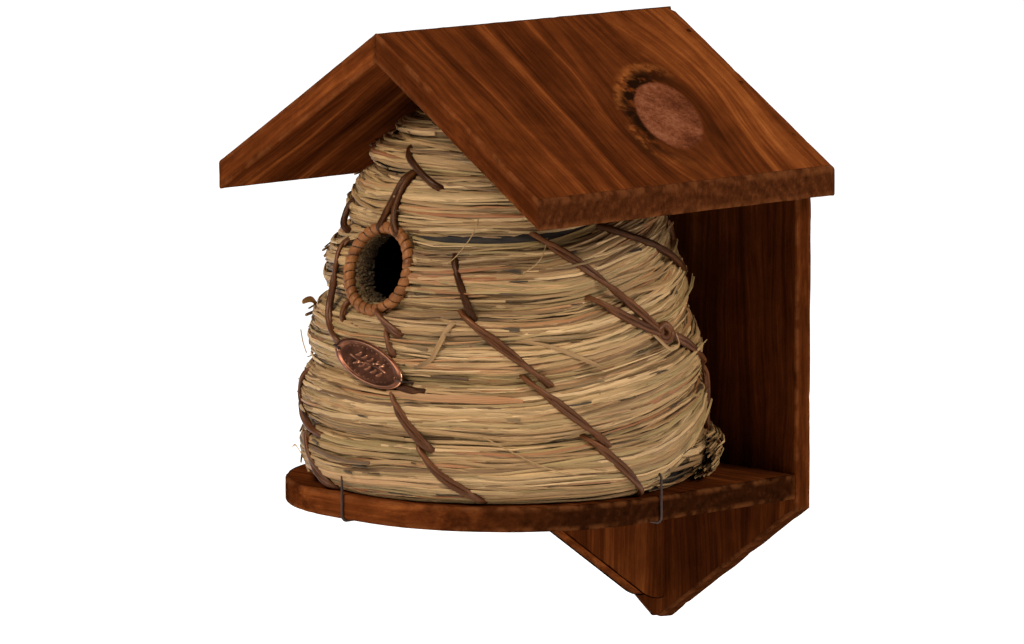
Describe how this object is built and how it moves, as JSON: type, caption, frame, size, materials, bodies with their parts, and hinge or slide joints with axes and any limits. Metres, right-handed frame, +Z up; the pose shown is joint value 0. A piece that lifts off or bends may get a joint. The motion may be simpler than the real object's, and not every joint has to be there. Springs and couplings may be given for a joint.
{
  "type": "nest house",
  "caption": "Wall-hung nest house: a coiled straw dome laced with vine, with a wrapped round entrance, on a wooden floor under a gabled wooden roof.",
  "frame": {"origin": "centre of the hanging keyhole's round opening, in the wall plane, on the house's middle plane", "axes": "+Z up, +Y into the wall, +X to the right as seen from the front; the entrance faces -Y"},
  "size_m": [0.222, 0.2097, 0.3],
  "materials": {
    "stained_wood": "reddish brown stained softwood, matt to satin",
    "straw": "dry flat grass straw, matt",
    "vine": "dark red-brown vine, satin",
    "cane": "orange-brown split cane, satin",
    "aged_copper": "aged copper with worn bright edges",
    "dark_wire": "brown lacquered wire",
    "zinc_steel": "zinc plated steel",
    "dark_steel": "dull dark steel"
  },
  "bodies": {
    "root": {"back_board": "stained_wood", "floor_board": "stained_wood", "support_fin": "stained_wood", "roof_panel_left": "stained_wood", "roof_panel_right": "stained_wood", "straw_row_1": "straw", "straw_row_2": "straw", "straw_row_3": "straw", "straw_row_4": "straw", "straw_row_5": "straw", "straw_row_6": "straw", "straw_crown": "straw", "vine_lacing_1": "vine", "vine_lacing_2": "vine", "vine_lacing_3": "vine", "vine_lacing_4": "vine", "vine_lacing_5": "vine", "vine_lacing_6": "vine", "entrance_ring_core": "vine", "entrance_ring_binding": "cane", "ring_ties": "vine", "oval_tag": "aged_copper", "tag_wires": "dark_wire", "floor_tie_wires": "dark_wire", "hanger_plate": "zinc_steel", "hanger_screws": "zinc_steel", "roof_brads": "dark_steel", "floor_brads": "dark_steel", "fin_brads": "dark_steel"}
  },
  "joints": []
}
